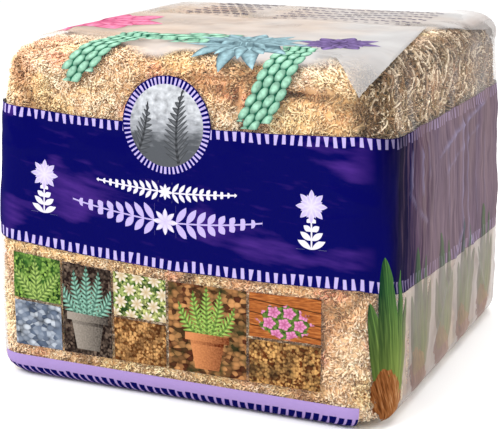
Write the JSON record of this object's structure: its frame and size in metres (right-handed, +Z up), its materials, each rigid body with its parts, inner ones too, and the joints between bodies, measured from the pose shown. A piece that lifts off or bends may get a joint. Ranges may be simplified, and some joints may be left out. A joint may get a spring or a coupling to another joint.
{
  "type": "compressed sphagnum moss bale in a clear film bag",
  "caption": "Square pressed bale of dried sphagnum moss in a tight clear film bag, its top end folded over like a parcel, with a dark blue band printed round the middle.",
  "frame": {"origin": "middle of the flat underside, on the surface the bale stands on", "axes": "+Z up, -Y out of the front, which has the row of pictures and the hanging corner of the top fold, +X to the right seen from the front"},
  "size_m": [0.1764, 0.1794, 0.1447],
  "materials": {
    "dried_moss": "matte",
    "printed_film": "gloss"
  },
  "bodies": {
    "root": {"moss_block": "dried_moss", "film_bag": "printed_film"}
  },
  "joints": []
}
